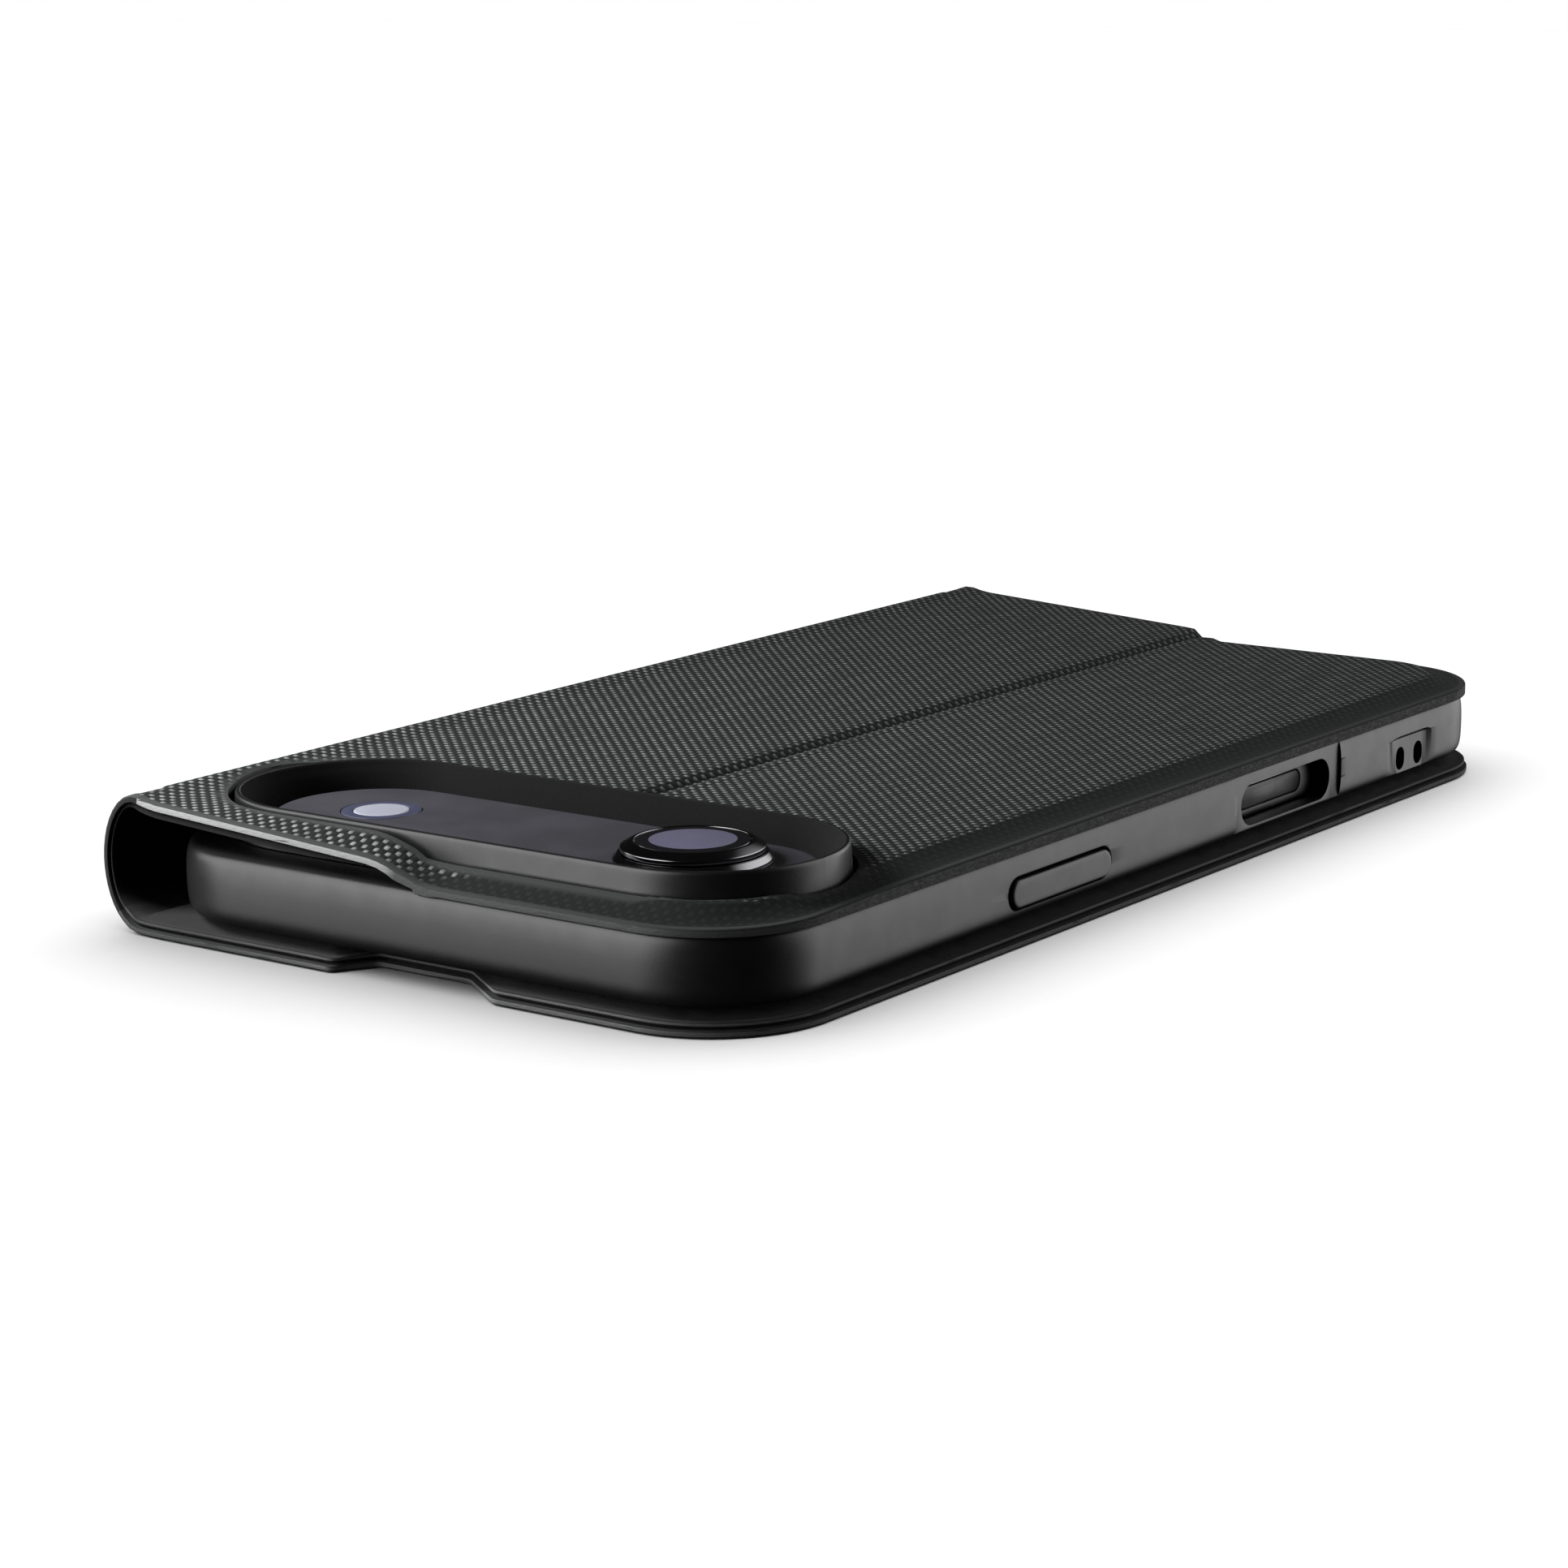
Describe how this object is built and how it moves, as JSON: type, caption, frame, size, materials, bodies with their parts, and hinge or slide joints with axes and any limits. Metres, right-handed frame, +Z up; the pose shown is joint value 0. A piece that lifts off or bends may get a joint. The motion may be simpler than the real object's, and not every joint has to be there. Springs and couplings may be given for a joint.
{
  "type": "phone wallet case",
  "caption": "Folio phone case with a moulded tray, a woven cover that opens at a round spine and folds into a stand, a card pocket and a fitted phone.",
  "frame": {"origin": "centre of the closed case's footprint, on the surface it lies on", "axes": "+Y along the case from the camera end, +X from the spine to the free edge, +Z up from the front flap to the back"},
  "size_m": [0.0852, 0.1602, 0.0151],
  "materials": {
    "tray_plastic": "satin moulded, fine grain",
    "microfibre": "soft napped",
    "woven_skin": "fine ballistic weave, coated",
    "board": "uncoated",
    "cover_lining": "smooth microfibre",
    "magnet": "plated",
    "phone_metal": "dark anodised, fine blasted",
    "dark_glass": "etched dark glass",
    "screen_glass": "polished",
    "polished_metal": "polished",
    "lens_black": "black",
    "lens_cover": "coated, faint violet",
    "flash_lens": "clear over blue-grey",
    "flash_diffuser": "milky"
  },
  "bodies": {
    "tray": {"tray_shell": "tray_plastic", "camera_guard_ring": "tray_plastic", "tray_lining": "microfibre", "back_skin_fixed": "woven_skin", "back_board_fixed": "board", "phone_frame": "phone_metal", "phone_back_glass": "dark_glass", "phone_screen": "screen_glass", "camera_control_key": "screen_glass", "camera_bar": "dark_glass", "lens_base_ring": "polished_metal", "lens_bezel": "polished_metal", "lens_barrel": "lens_black", "lens_glass": "lens_cover", "flash_window": "flash_lens", "flash_diffuser": "flash_diffuser"},
    "free_panel": {"back_skin_free": "woven_skin", "back_board_free": "board", "back_lining_free": "cover_lining"},
    "spine": {"spine_skin": "woven_skin", "spine_lining": "cover_lining"},
    "gutter": {"gutter_skin": "woven_skin", "gutter_lining": "cover_lining"},
    "flap": {"flap_skin": "woven_skin", "flap_board": "board", "flap_lining": "cover_lining", "card_pocket": "cover_lining", "flap_magnet_near": "magnet", "flap_magnet_far": "magnet"},
    "side_button": {"side_button_pad": "tray_plastic"},
    "action_button": {"action_button_pad": "tray_plastic"},
    "volume_up": {"volume_up_pad": "tray_plastic"},
    "volume_down": {"volume_down_pad": "tray_plastic"}
  },
  "joints": [
    {"name": "stand_fold", "type": "hinge", "parent": "tray", "child": "free_panel", "pos_m": [-0.0007, 0, 0.012], "axis": [0, 1, 0], "range_deg": [0, 10]},
    {"name": "cover_open", "type": "hinge", "parent": "free_panel", "child": "spine", "pos_m": [-0.0395, 0, 0.0142], "axis": [0, 1, 0], "range_deg": [0, 90]},
    {"name": "gutter_fold", "type": "hinge", "parent": "spine", "child": "gutter", "pos_m": [-0.0415, 0, 0.0048], "axis": [0, 1, 0], "range_deg": [0, 90]},
    {"name": "flap_crease", "type": "hinge", "parent": "gutter", "child": "flap", "pos_m": [-0.0394, 0, 0.0014], "axis": [0, 1, 0], "range_deg": [0, 90]},
    {"name": "side_button_press", "type": "slide", "parent": "tray", "child": "side_button", "axis": [-1, 0, 0], "range_m": [0, 0.0003], "stiffness_N_per_m": 1200},
    {"name": "action_button_press", "type": "slide", "parent": "tray", "child": "action_button", "axis": [1, 0, 0], "range_m": [0, 0.0003], "stiffness_N_per_m": 1200},
    {"name": "volume_up_press", "type": "slide", "parent": "tray", "child": "volume_up", "axis": [1, 0, 0], "range_m": [0, 0.0003], "stiffness_N_per_m": 1200},
    {"name": "volume_down_press", "type": "slide", "parent": "tray", "child": "volume_down", "axis": [1, 0, 0], "range_m": [0, 0.0003], "stiffness_N_per_m": 1200}
  ],
  "couplings": [
    {"joint": "gutter_fold", "follows": "cover_open", "ratio": 1},
    {"joint": "flap_crease", "follows": "stand_fold", "ratio": 9}
  ]
}
